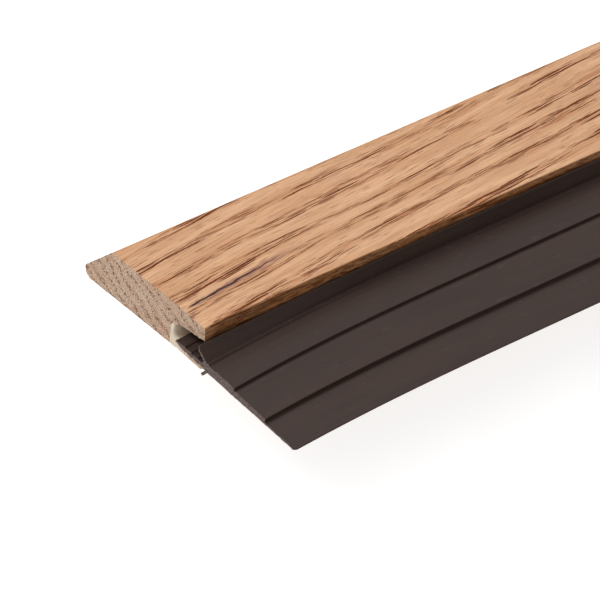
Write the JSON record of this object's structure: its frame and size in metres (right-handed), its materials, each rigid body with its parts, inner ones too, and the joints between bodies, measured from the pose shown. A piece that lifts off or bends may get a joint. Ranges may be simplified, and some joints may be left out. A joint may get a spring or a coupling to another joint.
{
  "type": "door sweep",
  "caption": "Bevelled oak strip for the inside face of a door's lower edge, with a stepped flexible vinyl blade, cover fin and rear bead glued into its groove.",
  "frame": {"origin": "on the strip's flat back, midway along its length, on the line of the screw holes", "axes": "+X along the strip, +Y to the bevelled nose (up when fitted to a door), -Y to the blade's free edge (down), +Z out of the front face (away from the door)"},
  "size_m": [0.9144, 0.0612, 0.0095],
  "materials": {
    "clear_finished_oak": "planed red oak with a satin clear coat, bare sawn ends",
    "hot_melt_glue": "translucent cream hot-melt glue",
    "brown_vinyl": "dark brown flexible extruded vinyl, semi-matte with fine lengthwise draw lines"
  },
  "bodies": {
    "rail": {"oak_strip": "clear_finished_oak", "glue_bed": "hot_melt_glue", "barbed_stem": "brown_vinyl"},
    "inner_panel": {"blade_inner": "brown_vinyl"},
    "middle_panel": {"blade_middle": "brown_vinyl"},
    "tip_panel": {"blade_tip": "brown_vinyl"},
    "fin": {"cover_fin": "brown_vinyl"},
    "bead": {"rear_bead": "brown_vinyl"}
  },
  "joints": [
    {"name": "blade_root_flex", "type": "hinge", "parent": "rail", "child": "inner_panel", "pos_m": [0, -0.02217, 0.00387], "axis": [1, 0, 0], "range_deg": [-25, 30], "stiffness_Nm_per_rad": 0.55},
    {"name": "blade_middle_flex", "type": "hinge", "parent": "inner_panel", "child": "middle_panel", "pos_m": [0, -0.02899, 0.00278], "axis": [1, 0, 0], "range_deg": [-40, 40], "stiffness_Nm_per_rad": 0.15},
    {"name": "blade_tip_flex", "type": "hinge", "parent": "middle_panel", "child": "tip_panel", "pos_m": [0, -0.03723, 0.00137], "axis": [1, 0, 0], "range_deg": [-60, 60], "stiffness_Nm_per_rad": 0.01},
    {"name": "cover_fin_flex", "type": "hinge", "parent": "rail", "child": "fin", "pos_m": [0, -0.02005, 0.00542], "axis": [1, 0, 0], "range_deg": [0, 45], "stiffness_Nm_per_rad": 0.012},
    {"name": "rear_bead_flex", "type": "hinge", "parent": "rail", "child": "bead", "pos_m": [0, -0.02034, 0.0028], "axis": [1, 0, 0], "range_deg": [-25, 30], "stiffness_Nm_per_rad": 0.01}
  ]
}
